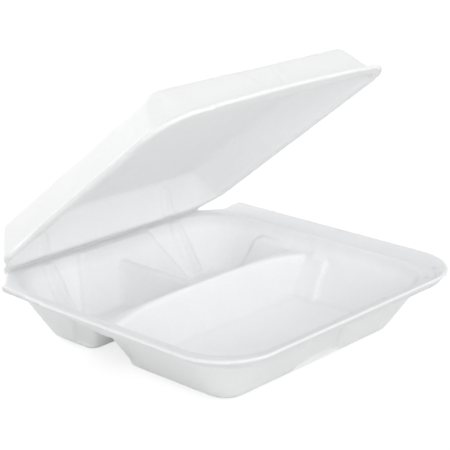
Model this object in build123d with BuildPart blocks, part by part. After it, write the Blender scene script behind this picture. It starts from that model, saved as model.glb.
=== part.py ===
from build123d import *
from math import cos, radians, sin, tan
import os

os.makedirs("parts", exist_ok=True)

# Hinged foam tray with three wells, its lid open at the resting angle.
# Millimetres, X across, Y from the front edge to the fold, Z up. The origin is on the
# standing plane, under the flat floor of the large front well.

# Main sizes
rim_half = 101.5            # half width of the rim
depth = 187.0               # front edge of the rim to the fold line
base_h = 36.5               # standing plane to the top of the rim
sheet = 2.5                 # thickness of the foam sheet
open_angle = 38.6           # how far the lid stands open
lid_gap = 0.3               # air between the closed lid and the ledge under it
origin_share = 0.28         # part of the depth that lies in front of the origin

# Base rim
rim_r = 33.0                # front corner radius of the rim
rim_bead = 1.8              # flat bead along the outer edge of the rim
rim_skirt = 3.0             # height of the outer edge
rim_bevel = 0.7             # bevel of the top outer edge
seat_drop = 4.0             # ledge below the top of the rim
foot_side = 9.3             # rim edge to the foot of the sloped rim, at the sides
foot_front = 3.9            # the same at the front
foot_r = 27.0               # corner radius at the foot
cut_right = 16.0            # fold line back to the corner of the right flange
cut_left = 22.5             # the left flange is trimmed shorter
draw_in = 4.0               # how far the left flange draws in at its back corner
draw_length = 42.5          # over this length
corner_r = 2.5              # back corners of the flanges
fold_in_right = 21.9        # rim edge to the right end of the fold line
fold_in_left = 26.0         # the same on the left

# Wells, sizes where the walls meet the ledge
draft_angle = 34.0          # wall angle away from vertical
ledge_side = 4.9            # foot of the sloped rim to the side wall of a well
well_front = 10.5           # rim edge to the front wall
land = 6.4                  # ledge between the back wall and the fold line
tub_r = 30.0                # outer corners
inner_r = 7.5               # corners at the ridge and divider
floor_round = 7.0           # rounding from wall to floor

# Ridge across the tray and divider behind it, heights below the top of the rim
ridge_share = 0.535         # place of the ridge along the depth
crest_half = 1.5            # half width of the crest at its highest
crest_round = 2.2           # rounding of the crest
crest_drop = 4.4            # at the middle
shoulder_share = 0.46       # part of the half width where the crest starts to fall
shoulder_drop = 5.3
end_drop = 14.2             # at the side walls
saddle_drop = 13.3          # divider
saddle_half = 2.4

# Raised panels on the walls of the wells
raise_step = 2.1            # how far they stand out from the wall
end_step = 3.0              # the same for the panels at the ridge ends
# end panel beside each ridge end: distance behind the ridge, depth below the rim
end_panel = [(-36.5, 33), (-23, 13.5), (-12, 11), (29, 9.8), (35, 12), (39, 33)]
end_hollow = [(-31, 34), (-19, 16), (-8, 14), (19, 13), (22, 15), (33, 34)]
rib_x = 51.0                # ribs on the back wall
rib_top = 3.2               # half width of a rib at the ledge
rib_foot = 4.3              # half width at the floor
rib_end = 30.0              # end of a rib below the rim
panel_top = 27.5            # half width of the middle panel at the ledge
panel_foot = 42.5           # half width at the floor

# Finger recess and small dents on the outside of the front wall
recess_step = 2.8
recess_top = 5.0            # half width at its upper end
recess_foot = 21.0          # half width at its lower end
recess_high = 11.0          # below the rim
recess_low = 34.0
dent_step = 1.3
dent_x = [18.0, 31.0, 52.0]
dent_wide = 7.0
dent_high = 4.2
dent_drop = 11.2            # middle of the dents below the rim

# Lid, sizes as it lies closed
lid_side_gap = 0.8          # foot of the sloped rim to the lid
lid_front = 4.4             # front edge of the base rim to the lid rim
lid_bow = 1.6               # how far the front edge bulges over the lock lip
lip_share = 0.56            # half length of the lock lip, as part of the rim half width
lip_step = 1.2              # step at the ends of the lip
lid_cut_right = 14.0        # fold line back to the slanted right corner
lid_cut_left = 22.0         # the same on the left, where the rim draws in
lid_draw_in = 6.0
lid_rim_r = 25.0
lid_side = 6.4              # lid rim to the outer side wall
lid_front_wall = 9.0        # lid rim to the outer front wall
lid_land = 3.4              # fold line to the outer back wall
lid_draft = 26.6
lid_rise = 20.0             # top of the lid rim to the top of the lid
lid_r = 16.5                # corners of the lid wall at the rim
lid_round = 6.0             # rounding from the wall to the top
lid_step = 1.7              # raised ribs and front recess
lid_rib_x = 50.0
lid_rib_half = 3.4
lid_rib_rise = 14.0         # height of the ribs on the back wall
lid_recess_low = 6.0        # half width of the front recess at the rim
lid_recess_top = 14.5       # half width at the top

# Derived sizes
front = -origin_share * depth
fold = front + depth
seat = base_h - seat_drop
run = tan(radians(draft_angle))
grow = sheet / cos(radians(draft_angle))
lid_run = tan(radians(lid_draft))
lid_grow = sheet / cos(radians(lid_draft))
lid_z = seat + lid_gap
lid_top = lid_z + sheet + lid_rise
axis_z = seat + lid_gap / 2
trim = lid_gap / 2
beyond = fold + 20
fold_right = rim_half - fold_in_right
fold_left = rim_half - fold_in_left
back_right = fold - cut_right
back_left = fold - cut_left
draw_start = back_left - draw_length
well_half = rim_half - foot_side - ledge_side
well_y0 = front + well_front
well_y1 = fold - land
ridge_mid = front + ridge_share * depth
crest_top = base_h - crest_drop
shoulder = shoulder_share * well_half
ridge_end = well_half + sheet + 2
saddle_top = base_h - saddle_drop
lid_half = rim_half - foot_side - lid_side_gap
lip_half = lip_share * rim_half


def flange(z, d_front, d_side, r, draw):
    """Outline of the sloped rim at one height, running past the fold line at the back."""
    x = rim_half - d_side
    with BuildSketch(Plane.XY.offset(z)) as flat:
        with BuildLine():
            Polyline(
                (-x, front + d_front),
                (x, front + d_front),
                (x, beyond),
                (-x + draw / draw_length * (beyond - draw_start), beyond),
                (-x, draw_start),
                close=True,
            )
        make_face()
        fillet(flat.vertices().group_by(Axis.Y)[0], r)
    return flat.sketch


def upright(faces):
    """The faces that stand vertical."""
    return faces.filter_by(lambda f: abs(f.normal_at().Z) < 0.1)


def tub(z_floor, wider):
    """One rectangular well up to the ledge with sloped walls."""
    with BuildPart() as body:
        with BuildSketch(Plane.XY.offset(z_floor)):
            with Locations((0, (well_y0 + well_y1) / 2)):
                Rectangle(2 * (well_half + wider), well_y1 - well_y0 + 2 * wider)
        extrude(amount=seat - z_floor)
        fillet(body.edges().filter_by(Axis.Z), tub_r + wider)
        draft(upright(body.faces()), Plane.XY.offset(seat), -draft_angle)
    return body.part


def ridge_block(z_floor, shift, lower, edge):
    """Ridge across the tray, sloped on both sides under an arched crest."""
    half_floor = crest_half - shift + (crest_top - z_floor) * run
    z_shoulder = base_h - shoulder_drop - lower
    z_end = base_h - end_drop - lower
    with BuildPart() as block:
        with BuildSketch(Plane.YZ):
            with BuildLine():
                Polyline(
                    (ridge_mid - half_floor, z_floor),
                    (ridge_mid + half_floor, z_floor),
                    (ridge_mid, z_floor + half_floor / run),
                    close=True,
                )
            make_face()
        extrude(amount=ridge_end, both=True)
        with BuildSketch(Plane.XZ):
            with BuildLine():
                top = ThreePointArc((-shoulder, z_shoulder), (0, crest_top - lower), (shoulder, z_shoulder))
                TangentArc(top @ 1, (ridge_end, z_end), tangent=top % 1)
                TangentArc(top @ 0, (-ridge_end, z_end), tangent=(top % 0) * -1)
                Polyline(
                    (ridge_end, z_end),
                    (ridge_end, z_floor - 1),
                    (-ridge_end, z_floor - 1),
                    (-ridge_end, z_end),
                )
            make_face()
        extrude(amount=depth, both=True, mode=Mode.INTERSECT)
        if edge > 0:
            z_mid = (crest_top - lower + z_end) / 2
            long_edges = block.edges().filter_by(
                lambda e: abs(e.center().Z - z_mid) < end_drop and abs((e @ 1).X - (e @ 0).X) > shoulder / 2
            )
            fillet(long_edges, edge)
    return block.part


def divider_block(z_floor, shift, lower):
    """Low divider between the two small wells, from the ridge to the back wall."""
    half_floor = saddle_half - shift + (saddle_top - z_floor) * run
    half_top = max(0.3, saddle_half - shift + lower * run)
    with BuildPart() as block:
        with BuildSketch(Plane.XZ.offset(-ridge_mid)):
            with BuildLine():
                Polyline(
                    (-half_floor, z_floor),
                    (half_floor, z_floor),
                    (half_top, saddle_top - lower),
                    (-half_top, saddle_top - lower),
                    close=True,
                )
            make_face()
        extrude(amount=-(fold - ridge_mid))
    return block.part


def wells(z_floor, wider, lower, corner, edge, crest_edge):
    """Space of the three wells up to the ledge, or the same space grown by the sheet."""
    reach = crest_half + wider + (crest_top - z_floor) * run
    with BuildPart() as space:
        add(tub(z_floor, wider))
        add(ridge_block(z_floor - 1, wider, lower, crest_edge), mode=Mode.SUBTRACT)
        add(divider_block(z_floor - 1, wider, lower), mode=Mode.SUBTRACT)
        steep = space.edges().filter_by(
            lambda e: abs((e @ 1).Z - (e @ 0).Z) > (saddle_top - z_floor) * 0.4
            and (abs(e.center().X) < well_half / 2 or abs(e.center().Y - ridge_mid) < reach)
        )
        fillet(steep, corner)
        fillet(space.edges().filter_by_position(Axis.Z, z_floor - 0.01, z_floor + 0.01), edge)
    return space.part


def across(points):
    """Prism through both side walls. Points are distance behind the ridge, depth below the rim."""
    with BuildPart() as prism:
        with BuildSketch(Plane.YZ):
            with BuildLine():
                Polyline(*[(ridge_mid + y, base_h - z) for y, z in points], close=True)
            make_face()
        extrude(amount=rim_half, both=True)
    return prism.part


def along(x, half_top, half_foot, z_high, z_low, y0, y1):
    """Prism along Y with a wider foot, for panels on the front and back walls."""
    with BuildPart() as prism:
        with BuildSketch(Plane.XZ.offset(-y0)):
            with BuildLine():
                Polyline(
                    (x - half_foot, z_low),
                    (x + half_foot, z_low),
                    (x + half_top, z_high),
                    (x - half_top, z_high),
                    close=True,
                )
            make_face()
        extrude(amount=-(y1 - y0))
    return prism.part


def on_walls(prisms, z_floor, wider, step):
    """The part of some prisms that stands within one step of the walls of the wells."""
    with BuildPart() as panels:
        add(prisms)
        add(tub(z_floor, wider - step / cos(radians(draft_angle))), mode=Mode.SUBTRACT)
    return panels.part


def lid_plan(z):
    """Outline of the lid rim with its bulging lock lip and slanted back corners."""
    y_lip = front + lid_front + lid_bow
    y_side = y_lip + lip_step
    with BuildSketch(Plane.XY.offset(z)) as flat:
        with BuildLine():
            ThreePointArc((-lip_half, y_lip), (0, front + lid_front), (lip_half, y_lip))
            Polyline(
                (lip_half, y_lip),
                (lip_half + 1, y_side),
                (lid_half, y_side + 1.5),
                (lid_half, fold - lid_cut_right),
                (fold_right, fold - trim),
                (-fold_left, fold - trim),
                (-lid_half + lid_draw_in, fold - lid_cut_left),
                (-lid_half, draw_start),
                (-lid_half, y_side + 1.5),
                (-lip_half - 1, y_side),
                (-lip_half, y_lip),
            )
        make_face()
        outer = flat.vertices().filter_by(lambda v: abs(v.X) > lip_half + 2)
        fillet(outer.group_by(Axis.Y)[0], lid_rim_r)
        tips = flat.vertices().filter_by(
            lambda v: fold - 1.1 * max(lid_cut_left, lid_cut_right) < v.Y < fold - 1
        )
        fillet(tips, corner_r)
    return flat.sketch


def dome(z_low, z_high, wider, edge):
    """Domed part of the closed lid between two heights, its size given just above the lid rim."""
    y0 = front + lid_front + lid_front_wall - wider
    y1 = fold - lid_land + wider
    with BuildPart() as body:
        with BuildSketch(Plane.XY.offset(z_low)):
            with Locations((0, (y0 + y1) / 2)):
                Rectangle(2 * (lid_half - lid_side + wider), y1 - y0)
        extrude(amount=z_high - z_low)
        fillet(body.edges().filter_by(Axis.Z), lid_r + wider)
        draft(upright(body.faces()), Plane.XY.offset(lid_z + sheet), lid_draft)
        if edge > 0:
            fillet(body.faces().sort_by(Axis.Z)[-1].edges(), edge)
    return body.part


def lid_panels(extra):
    """Prisms of the ribs on the back wall of the lid and of its front recess."""
    with BuildPart() as prisms:
        for x in (-lid_rib_x, lid_rib_x):
            half = lid_rib_half - extra
            add(along(x, half * 0.7, half, lid_z + lid_rib_rise, lid_z, ridge_mid, beyond))
        half = lid_recess_low - extra
        add(along(0, half + lid_recess_top - lid_recess_low, half, lid_top, lid_z, front, front + depth / 3))
    return prisms.part


with BuildPart() as base_skin:
    # rim with its sloped flange, the ledge and the grown wells
    add(flange(base_h - rim_skirt, 0, 0, rim_r, draw_in))
    extrude(amount=rim_skirt)
    loft(
        [
            flange(base_h - rim_skirt, 1.0, 1.4, rim_r - 1, draw_in),
            flange(seat - sheet, foot_front - 0.4, foot_side - 1, foot_r, 0.01),
        ],
        ruled=True,
    )
    add(wells(0, grow, sheet + 0.1, inner_r + sheet, floor_round + sheet, 0))
    # hollows outside the end panels
    add(on_walls(across(end_hollow), 0, grow, end_step), mode=Mode.SUBTRACT)
    # finger recess and dents of the front wall
    with BuildPart(mode=Mode.PRIVATE) as scoop:
        add(along(0, recess_top, recess_foot, base_h - recess_high, base_h - recess_low, front, ridge_mid))
    add(on_walls(scoop.part, 0, grow, recess_step), mode=Mode.SUBTRACT)
    with BuildPart(mode=Mode.PRIVATE) as dents:
        for x in dent_x:
            for side in (-1, 1):
                with Locations((side * x, front, base_h - dent_drop)):
                    Box(dent_wide, depth / 2, dent_high)
    add(on_walls(dents.part, 0, grow, dent_step), mode=Mode.SUBTRACT)

with BuildPart() as base_air:
    add(wells(sheet, 0, 0, inner_r, floor_round, crest_round))
    # end panels, ribs and middle panel of the back wall, back of the finger recess
    add(on_walls(across(end_panel), sheet, 0, end_step), mode=Mode.SUBTRACT)
    with BuildPart(mode=Mode.PRIVATE) as walls:
        back = (ridge_mid + depth / 6, beyond)
        for x in (-rib_x, rib_x):
            add(along(x, rib_top, rib_foot, seat, base_h - rib_end, *back))
        add(along(0, panel_top, panel_foot, seat, sheet, *back))
    add(on_walls(walls.part, sheet, 0, raise_step), mode=Mode.SUBTRACT)
    with BuildPart(mode=Mode.PRIVATE) as bulge:
        wide = 0.8 * sheet
        z_high = base_h - recess_high + wide
        add(along(0, recess_top + wide, recess_foot + wide, z_high, base_h - recess_low, front, ridge_mid))
    add(on_walls(bulge.part, sheet, 0, recess_step), mode=Mode.SUBTRACT)
    loft(
        [
            flange(base_h, rim_bead, rim_bead, rim_r - rim_bead, draw_in),
            flange(seat, foot_front, foot_side, foot_r, 0.01),
        ],
        ruled=True,
    )

with BuildPart() as base:
    # plan of the rim, cut slanting to the fold line at both back corners
    with BuildSketch() as plan:
        with BuildLine():
            Polyline(
                (-rim_half, front),
                (rim_half, front),
                (rim_half, back_right),
                (fold_right, fold - trim),
                (-fold_left, fold - trim),
                (-rim_half + draw_in, back_left),
                (-rim_half, draw_start),
                close=True,
            )
        make_face()
        fillet(plan.vertices().group_by(Axis.Y)[0], rim_r)
        fillet(plan.vertices().filter_by(lambda v: back_left - 1 < v.Y < back_right + 1), corner_r)
    extrude(amount=base_h)
    top = base.faces().sort_by(Axis.Z)[-1]
    chamfer(top.edges().filter_by(lambda e: e.center().Y < fold - 1), rim_bevel)
    add(base_skin.part, mode=Mode.INTERSECT)
    add(base_air.part, mode=Mode.SUBTRACT)

with BuildPart() as lid:
    add(lid_plan(lid_z))
    extrude(amount=sheet)
    add(dome(lid_z + sheet, lid_top, 0, lid_round))
    # hollows behind the ribs and the front recess
    with BuildPart(mode=Mode.PRIVATE) as outside:
        add(lid_panels(0.6 * sheet))
        add(dome(lid_z, lid_top + 1, -lid_step, 0), mode=Mode.SUBTRACT)
        with Locations((0, 0, lid_z)):
            Box(2 * rim_half, 4 * depth, 2 * sheet, mode=Mode.SUBTRACT)
    add(outside.part, mode=Mode.SUBTRACT)
    # inside of the lid, one sheet thickness under the dome, less its raised ribs
    with BuildPart(mode=Mode.PRIVATE) as inside:
        add(dome(lid_z, lid_top - sheet, -lid_grow, lid_round - sheet))
        with BuildPart(mode=Mode.PRIVATE) as raised:
            add(lid_panels(0))
            add(dome(lid_z - 1, lid_top, -lid_grow - lid_step, 0), mode=Mode.SUBTRACT)
        add(raised.part, mode=Mode.SUBTRACT)
    add(inside.part, mode=Mode.SUBTRACT)

swing = Axis((0, fold, axis_z), (-1, 0, 0))
lid.part = lid.part.rotate(swing, open_angle)

base.part.label = "base"
export_step(base.part, "parts/base.step")
lid.part.label = "lid"
export_step(lid.part, "parts/lid.step")
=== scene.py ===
from math import cos, pi, radians, sin

import bmesh
import bpy
from mathutils import Matrix, Vector


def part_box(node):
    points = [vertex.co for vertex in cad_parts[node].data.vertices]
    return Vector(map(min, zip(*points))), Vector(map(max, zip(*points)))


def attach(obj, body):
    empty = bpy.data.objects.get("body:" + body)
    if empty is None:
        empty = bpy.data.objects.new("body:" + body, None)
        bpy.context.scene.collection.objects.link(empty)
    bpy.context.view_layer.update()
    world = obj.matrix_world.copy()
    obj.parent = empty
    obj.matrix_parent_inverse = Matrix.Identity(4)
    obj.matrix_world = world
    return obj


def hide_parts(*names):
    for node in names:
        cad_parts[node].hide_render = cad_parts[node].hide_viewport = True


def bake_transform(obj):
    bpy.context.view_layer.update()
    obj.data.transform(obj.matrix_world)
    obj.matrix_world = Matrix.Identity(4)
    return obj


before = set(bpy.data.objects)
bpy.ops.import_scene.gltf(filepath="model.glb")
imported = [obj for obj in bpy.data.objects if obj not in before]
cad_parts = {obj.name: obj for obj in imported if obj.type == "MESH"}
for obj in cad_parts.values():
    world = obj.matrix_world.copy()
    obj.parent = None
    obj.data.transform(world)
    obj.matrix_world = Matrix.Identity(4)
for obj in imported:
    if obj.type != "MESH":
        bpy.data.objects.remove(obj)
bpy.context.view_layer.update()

MM = 0.001

# Camera, in degrees and in millimetres from the middle of the rim's front edge
CAMERA_AZIMUTH = -47.98
CAMERA_ELEVATION = 18.13
CAMERA_ROLL = 0.26
CAMERA_FROM_RIM = (-551.28, -401.22, 268.29)
FOCAL_PIXELS = 1443.09
CENTRE_PIXEL = (221.01, 225.06)
PHOTO_PIXELS = 450
SENSOR = 36.0

# Foam sheet: patterns by their number to the metre, lengths in metres, tones as shares of the colour
FOAM = (0.935, 0.94, 0.948)
BEADS = 520.0
CELLS = 210.0
CLOUDS = 45.0
BEAD_TONE = (1.005, 0.985)
CLOUD_TONE = (0.985, 1.01)
# painted highlight on outer edges and painted shade in inner corners, as shares of the colour
EDGE_HIGHLIGHT_AND_CREASE_SHADE = (0.94, 1.06)
ROUGHNESS = (0.42, 0.55)
GRAIN_HEIGHT = 0.00012
SUBSURFACE = 0.8
LIGHT_REACH = 0.0025
EDGE_SOFTNESS = 0.001
# painted shade: the base's colour darkens by this share towards the rim's top, starting at the height below
RIM_PAINTED_SHADE = 0.89
RIM_PAINTED_SHADE_FROM = 0.026
RIM_PAINTED_SHADE_BELOW_TOP = 0.003

# Floor and world
FLOOR = 0.8
FLOOR_SEEN = 0.42
FLOOR_GLOW = 0.72
FLOOR_SIZE = 6.0
WHITE = (1.0, 1.0, 1.0, 1.0)
WORLD_LIGHT = 0.5

# Lamps: name, azimuth, elevation and power. All are one size and equally far away, in metres
LAMPS = (
    ("front_right", 45, 20, 3.4),
    ("front_left", -45, 20, 8.3),
    ("front_top", 0, 50, 4.6),
    ("back", 180, 20, 13.0),
)
LAMP_DISTANCE = 1.6
LAMP_SIZE = 1.0

# Grid of each shown sheet in millimetres, and its steps of smoothing
GRID = {"base": (1.2, 3), "lid": (1.08, 4)}

# The solid's ridge, in millimetres: y from the front edge, drops from the rim, x from the middle
RIDGE_Y = 100.0
CREST_HALF = 1.5
FACE_SLOPE = 0.6745
MIDDLE_DROP = 4.4
SHOULDER_DROP = 5.3
SHOULDER_X = 40.2
END_SLOPE = 0.0448
END_BOW = 0.002475

# What makes it the photo's ridge: the crest goes back and sinks, the front face goes back further
# with each millimetre of depth
CREST_BACK = 5.5
FACE_BACK = 0.495
FACE_DEPTH = 30.0
CREST_SINK = 3.9
SINK_HALF = 100.0

# Where the move starts or ends: depths from the rim, y from the front edge, x from the middle
STILL_DEPTH = 4.1
SIDE_WALL_X = 78.0
SIDE_WALL_DEPTHS = (5.0, 9.0)
LARGE_WELL_YS = (42.0, 60.0)
SMALL_WELL_YS = (126.0, 150.0)
SINK_DEPTHS = (1.5, 9.0)
SINK_MARGINS = (5.0, 9.0)

# The rim edge is shown thinner, and the end panels run down into the floor, in millimetres
RIM_THINNER = 1.0
RIM_UNDERSIDE = 3.2
PANEL_FOOT = (32.7, 33.3)
PANEL_X = 55.0
UNDER_FLOOR_FACE = 34.1

# How far a normal has to lean down or up for its face to count as an underside or a top
LEANS_DOWN = -0.2
LEANS_UP = 0.1

# Small dents of the base, their colour painted darker as shade or lighter as highlight: x from the middle, y
# from the front edge, depth below the rim and radius, in millimetres, then how light the painted spot is
DENTS_WITH_PAINTED_SHADE_AND_HIGHLIGHT = (
    (-46.0, 11.5, 4.2, 2.5, 1.05),
    (-11.7, 11.3, 4.0, 2.5, 1.05),
    (-2.0, 11.5, 4.0, 3.0, 0.86),
    (4.5, 10.6, 4.0, 2.5, 0.86),
    (33.1, 10.4, 4.0, 2.2, 0.8),
    (75.0, 11.5, 4.0, 2.2, 0.84),
    (89.0, 15.5, 4.0, 2.2, 0.84),
    (-62.0, 5.0, 6.5, 3.5, 0.86),
    (-42.5, 5.0, 6.0, 3.0, 0.88),
    (-28.5, 5.0, 6.5, 3.5, 0.86),
    (5.0, 4.5, 5.5, 3.0, 0.88),
    (17.5, 4.5, 5.0, 3.0, 0.86),
    (37.5, 5.0, 6.0, 3.0, 0.88),
)
DENT_DEPTH = 0.0009

# Fold line between base and lid, in millimetres, and the strip of foam round its back
FOLD_Y = 134.64
FOLD_Z = 32.65
FOLD_LEFT = 75.1
FOLD_RIGHT = 79.2
OPEN_ANGLE = 38.6
WEB_REACH = 2.45
WEB_INSET = 1.2
WEB_GAP = 0.16
WEB_STEPS = 14


class Nodes:
    """Short way to make shader nodes and join them."""

    def __init__(self, tree):
        self.tree = tree

    def add(self, kind, inputs=None, **settings):
        node = self.tree.nodes.new(kind)
        for name, value in settings.items():
            setattr(node, name, value)
        for name, value in (inputs or {}).items():
            if isinstance(value, bpy.types.NodeSocket):
                self.tree.links.new(value, node.inputs[name])
            else:
                node.inputs[name].default_value = value
        return node

    def maths(self, operation, a, b):
        return self.add("ShaderNodeMath", {0: a, 1: b}, operation=operation).outputs["Value"]

    def ranged(self, value, span, ends, **settings):
        """Carries the two ends of span over to the two ends asked for, and holds them outside it."""
        low, high = span
        at_low, at_high = ends
        inputs = {"Value": value, "From Min": low, "From Max": high, "To Min": at_low, "To Max": at_high}
        return self.add("ShaderNodeMapRange", inputs, **settings).outputs["Result"]


def blank_material(name):
    material = bpy.data.materials.new(name)
    material.use_nodes = True
    material.node_tree.nodes.clear()
    return material, Nodes(material.node_tree)


def paint(thing, material):
    thing.data.materials.clear()
    thing.data.materials.append(material)


def dents_with_painted_shade_and_highlight(n, place, rim):
    """Product over all dents of 1 away from a dent and its painted lightness in the middle of it: below 1 is
    painted shade, above 1 painted highlight.
    """
    total = 1.0
    for x, y, deep, radius, light in DENTS_WITH_PAINTED_SHADE_AND_HIGHLIGHT:
        centre = rim + Vector((x, y, -deep)) * MM
        away = n.add("ShaderNodeVectorMath", {0: place, 1: centre}, operation="DISTANCE").outputs["Value"]
        spot = n.ranged(away, (0.0, radius * MM), (light, 1.0), interpolation_type="SMOOTHSTEP")
        total = n.maths("MULTIPLY", total, spot)
    return total


def foam_material(name, rim=None):
    """Pressed foam sheet: pale skin with faint flattened beads, a soft sheen and light glowing through.

    With the rim's point it is the base's foam, with painted shade towards the rim's top and dents that carry
    painted shade and painted highlight.
    """
    material, n = blank_material(name)
    place = n.add("ShaderNodeTexCoord").outputs["Object"]
    bead_inputs = {"Vector": place, "Scale": BEADS, "Randomness": 0.9}
    beads = n.add("ShaderNodeTexVoronoi", bead_inputs, feature="F1").outputs["Distance"]
    cell_inputs = {"Vector": place, "Scale": CELLS}
    cells = n.add("ShaderNodeTexVoronoi", cell_inputs, feature="F1").outputs["Distance"]
    cloud_inputs = {"Vector": place, "Scale": CLOUDS, "Detail": 3.0, "Roughness": 0.6}
    cloud = n.add("ShaderNodeTexNoise", cloud_inputs).outputs["Fac"]
    cloud_tone = n.ranged(cloud, (0.3, 0.7), CLOUD_TONE)
    bead_tone = n.ranged(beads, (0.0, 0.8), BEAD_TONE)
    tone = n.maths("MULTIPLY", cloud_tone, bead_tone)
    # painted highlight and painted shade: outer edges are painted paler and inner corners greyer, as light
    # and shade fall on them
    bend = n.add("ShaderNodeNewGeometry").outputs["Pointiness"]
    tone = n.maths("MULTIPLY", tone, n.ranged(bend, (0.42, 0.58), EDGE_HIGHLIGHT_AND_CREASE_SHADE))
    # pressed foam has no sharp creases, so edges are shaded as soft rounds
    normal = n.add("ShaderNodeBevel", {"Radius": EDGE_SOFTNESS}, samples=8).outputs["Normal"]
    if rim is not None:
        # painted shade: the colour darkens towards the rim's top
        height = n.add("ShaderNodeSeparateXYZ", {"Vector": place}).outputs["Z"]
        rim_painted_shade = n.ranged(height, (RIM_PAINTED_SHADE_FROM, rim.z - RIM_PAINTED_SHADE_BELOW_TOP), (1.0, RIM_PAINTED_SHADE))
        tone = n.maths("MULTIPLY", tone, rim_painted_shade)
        # the dents darken the colour as painted shade or lighten it as painted highlight, and also press in
        # as bumps
        dents_painted_shade_and_highlight = dents_with_painted_shade_and_highlight(n, place, rim)
        tone = n.maths("MULTIPLY", tone, dents_painted_shade_and_highlight)
        dent_inputs = {"Strength": 1.0, "Distance": DENT_DEPTH, "Height": dents_painted_shade_and_highlight, "Normal": normal}
        normal = n.add("ShaderNodeBump", dent_inputs).outputs["Normal"]
    colour_inputs = {"Factor": 1.0, "A": (*FOAM, 1.0), "B": tone}
    colour = n.add("ShaderNodeMix", colour_inputs, data_type="RGBA", blend_type="MULTIPLY")
    grain = n.maths("ADD", cloud, beads)
    grain_inputs = {"Strength": 0.25, "Distance": GRAIN_HEIGHT, "Height": grain, "Normal": normal}
    skin = n.add(
        "ShaderNodeBsdfPrincipled",
        {
            "Base Color": colour.outputs["Result"],
            "Roughness": n.ranged(cells, (0.0, 0.8), ROUGHNESS),
            "Specular IOR Level": 0.3,
            "Subsurface Weight": SUBSURFACE,
            "Subsurface Radius": (1.0, 1.0, 1.0),
            "Subsurface Scale": LIGHT_REACH,
            "Normal": n.add("ShaderNodeBump", grain_inputs).outputs["Normal"],
        },
    )
    n.add("ShaderNodeOutputMaterial", {"Surface": skin.outputs["BSDF"]})
    return material


def fade(value, low, high):
    """0 below low, 1 above high and smooth between them."""
    t = min(1.0, max(0.0, (value - low) / (high - low)))
    return t * t * (3 - 2 * t)


def ridge_drop(x):
    """Depth of the solid's ridge crest below the rim: a shallow arch with ends that fall away."""
    x = abs(x)
    if x < SHOULDER_X:
        return MIDDLE_DROP + (SHOULDER_DROP - MIDDLE_DROP) * (x / SHOULDER_X) ** 2
    past = x - SHOULDER_X
    return SHOULDER_DROP + END_SLOPE * past + END_BOW * past**2


def steeper_ridge(x, y, deep):
    """Where a point of the base goes. y is from the front edge and deep from the rim, in millimetres.

    The ridge of the photo is lower, stands further back and has a steeper front face.
    """
    if deep < STILL_DEPTH:
        return y, deep
    below = deep - ridge_drop(x)
    hold = 1.0 if abs(x) < SIDE_WALL_X else fade(deep, *SIDE_WALL_DEPTHS)
    if y < RIDGE_Y:
        face_back = FACE_BACK * min(max(below, 0.0), FACE_DEPTH)
        back = (CREST_BACK + face_back) * fade(y, *LARGE_WELL_YS)
    else:
        back = CREST_BACK * (1.0 - fade(y, *SMALL_WELL_YS))
    reach = CREST_HALF + FACE_SLOPE * max(below, 0.0)
    near = 1.0 - fade(abs(y - RIDGE_Y), reach + SINK_MARGINS[0], reach + SINK_MARGINS[1])
    arch = 1.0 - (min(abs(x), SINK_HALF) / SINK_HALF) ** 3
    sink = CREST_SINK * arch * (1.0 - fade(below, *SINK_DEPTHS)) * near
    return y + back * hold, deep + sink * hold


def copy_of(node):
    """The node's own closed mesh, in the row frame."""
    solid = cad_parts[node]
    work = bmesh.new()
    work.from_mesh(solid.data)
    work.transform(solid.matrix_world)
    bmesh.ops.remove_doubles(work, verts=work.verts, dist=1e-6)
    work.normal_update()
    return work


def move_ridge(work):
    """Moves the base's ridge to where the photo has it, and thins the rim edge."""
    low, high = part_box("base")
    for vert in work.verts:
        if high.z - vert.co.z < RIM_UNDERSIDE * MM and vert.normal.z < LEANS_DOWN:
            vert.co.z += RIM_THINNER * MM
        y, deep = steeper_ridge(vert.co.x / MM, (vert.co.y - low.y) / MM, (high.z - vert.co.z) / MM)
        at_foot = PANEL_FOOT[0] < deep < PANEL_FOOT[1] and vert.normal.z > LEANS_UP
        if at_foot and abs(vert.co.x) > PANEL_X * MM:
            deep = UNDER_FLOOR_FACE
        vert.co.y = low.y + y * MM
        vert.co.z = high.z - deep * MM
    return work


def soft_shell(work, node):
    """Shown in place of the node: the same sheet, its steps and corners rounded as pressed foam has them."""
    mesh = bpy.data.meshes.new(node + "_shell")
    work.to_mesh(mesh)
    work.free()
    shell = bpy.data.objects.new(node + "_shell", mesh)
    bpy.context.scene.collection.objects.link(shell)
    voxel, steps = GRID[node]
    grid = shell.modifiers.new("grid", "REMESH")
    grid.mode = "VOXEL"
    grid.voxel_size = voxel * MM
    grid.use_smooth_shade = True
    soft = shell.modifiers.new("soft", "SMOOTH")
    soft.factor = 0.5
    soft.iterations = steps
    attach(shell, node)
    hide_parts(node)
    return shell


def web_section(reach, turn):
    """Outline of the strip round the fold axis as (back, up), from the base to the end of the lid."""
    inset = WEB_INSET * MM
    gap = WEB_GAP * MM
    into_lid = Vector((-cos(turn), sin(turn))) * inset
    along_lid = Vector((sin(turn), cos(turn)))
    section = [Vector((-inset, -reach))]
    for i in range(WEB_STEPS + 1):
        angle = -pi / 2 + (pi - turn) * i / WEB_STEPS
        section.append(Vector((cos(angle), sin(angle))) * reach)
    section.append(along_lid * reach + into_lid)
    section.append(along_lid * gap + into_lid)
    section.append(Vector((0.0, 0.0)))
    section.append(Vector((-inset, -gap)))
    return section


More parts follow.
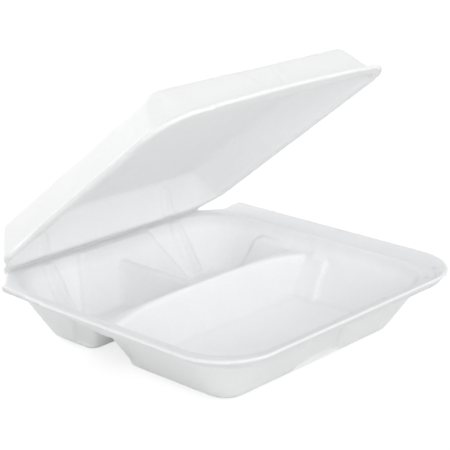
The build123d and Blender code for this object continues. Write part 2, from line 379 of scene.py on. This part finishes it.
def add_hinge_web():
    """Thin strip of foam round the back of the fold, shaped for the lid's opening angle."""
    axis = Vector((0.0, FOLD_Y, FOLD_Z)) * MM
    turn = radians(OPEN_ANGLE)
    reach = WEB_REACH * MM
    section = web_section(reach, turn)
    points = []
    for x in (-FOLD_LEFT * MM, FOLD_RIGHT * MM):
        points += [axis + Vector((x, point.x, point.y)) for point in section]
    count = len(section)
    faces = [[i, (i + 1) % count, (i + 1) % count + count, i + count] for i in range(count)]
    faces += [list(range(count))[::-1], list(range(count, 2 * count))]
    mesh = bpy.data.meshes.new("hinge_web")
    mesh.from_pydata(points, [], faces)
    web = bpy.data.objects.new("hinge_web", mesh)
    bpy.context.scene.collection.objects.link(web)
    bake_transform(web)
    return web


def direction(azimuth, elevation):
    """Unit vector towards a place round the object, azimuth 0 in front and 90 on the right."""
    a, e = radians(azimuth), radians(elevation)
    return Vector((sin(a) * cos(e), -cos(a) * cos(e), sin(e)))


def add_camera(rim):
    """Camera at the photograph's place and angle. rim is the point it is measured from."""
    back = direction(CAMERA_AZIMUTH, CAMERA_ELEVATION)
    right = Vector((cos(radians(CAMERA_AZIMUTH)), sin(radians(CAMERA_AZIMUTH)), 0.0))
    up = back.cross(right)
    roll = radians(CAMERA_ROLL)
    turned_right = right * cos(roll) + up * sin(roll)
    turned_up = up * cos(roll) - right * sin(roll)
    turn = Matrix((turned_right, turned_up, back)).transposed().to_4x4()
    data = bpy.data.cameras.new("photo_camera")
    data.sensor_width = SENSOR
    data.lens = SENSOR * FOCAL_PIXELS / PHOTO_PIXELS
    data.shift_x = (PHOTO_PIXELS / 2 - CENTRE_PIXEL[0]) / PHOTO_PIXELS
    data.shift_y = (CENTRE_PIXEL[1] - PHOTO_PIXELS / 2) / PHOTO_PIXELS
    camera = bpy.data.objects.new("photo_camera", data)
    bpy.context.scene.collection.objects.link(camera)
    camera.matrix_world = Matrix.Translation(rim + Vector(CAMERA_FROM_RIM) * MM) @ turn
    bpy.context.scene.camera = camera


def add_softbox(name, aim, away, power):
    """Square soft light that looks at a point."""
    data = bpy.data.lights.new(name, "AREA")
    data.shape = "RECTANGLE"
    data.size = LAMP_SIZE
    data.size_y = LAMP_SIZE
    data.energy = power
    light = bpy.data.objects.new(name, data)
    bpy.context.scene.collection.objects.link(light)
    turn = away.to_track_quat("Z", "Y").to_matrix().to_4x4()
    light.matrix_world = Matrix.Translation(aim + away * LAMP_DISTANCE) @ turn


def seen_ray(n):
    """1 for rays from the camera, mirrored ones and ones through glass, 0 for light that bounces."""
    path = n.add("ShaderNodeLightPath")
    seen = n.maths("MAXIMUM", path.outputs["Is Camera Ray"], path.outputs["Is Glossy Ray"])
    return n.maths("MAXIMUM", seen, path.outputs["Is Transmission Ray"])


def add_floor(z):
    """Pale floor that reads as the white ground of the photo and keeps a soft shadow."""
    bpy.ops.mesh.primitive_plane_add(size=FLOOR_SIZE, location=(0, 0, z))
    floor = bpy.context.object
    floor.name = "studio_floor"
    material, n = blank_material("studio_floor")
    matte = n.add("ShaderNodeBsdfDiffuse", {"Color": (FLOOR, FLOOR, FLOOR, 1.0)})
    soft = n.add("ShaderNodeBsdfDiffuse", {"Color": (FLOOR_SEEN, FLOOR_SEEN, FLOOR_SEEN, 1.0)})
    glow = n.add("ShaderNodeEmission", {"Color": WHITE, "Strength": FLOOR_GLOW})
    seen = n.add("ShaderNodeAddShader", {0: soft.outputs[0], 1: glow.outputs[0]})
    mix = n.add("ShaderNodeMixShader", {0: seen_ray(n), 1: matte.outputs[0], 2: seen.outputs[0]})
    n.add("ShaderNodeOutputMaterial", {"Surface": mix.outputs[0]})
    paint(floor, material)


def set_world(strength):
    """Even light from all round, seen as white."""
    world = bpy.data.worlds.new("studio")
    bpy.context.scene.world = world
    world.use_nodes = True
    world.node_tree.nodes.clear()
    n = Nodes(world.node_tree)
    air = n.add("ShaderNodeBackground", {"Color": WHITE, "Strength": strength})
    seen = n.add("ShaderNodeBackground", {"Color": WHITE, "Strength": 1.0})
    mix = n.add("ShaderNodeMixShader", {0: seen_ray(n), 1: air.outputs[0], 2: seen.outputs[0]})
    n.add("ShaderNodeOutputWorld", {"Surface": mix.outputs[0]})


base_low, base_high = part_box("base")
rim = Vector(((base_low.x + base_high.x) / 2, base_low.y, base_high.z))
middle = (base_low + base_high) / 2

paint(soft_shell(move_ridge(copy_of("base")), "base"), foam_material("foam_base", rim))
paint(soft_shell(copy_of("lid"), "lid"), foam_material("foam_lid"))
paint(add_hinge_web(), foam_material("foam_hinge_web"))

add_camera(rim)
add_floor(base_low.z)
set_world(WORLD_LIGHT)
for name, azimuth, elevation, power in LAMPS:
    add_softbox(name, middle, direction(azimuth, elevation), power)

bpy.context.scene.view_settings.view_transform = "Standard"
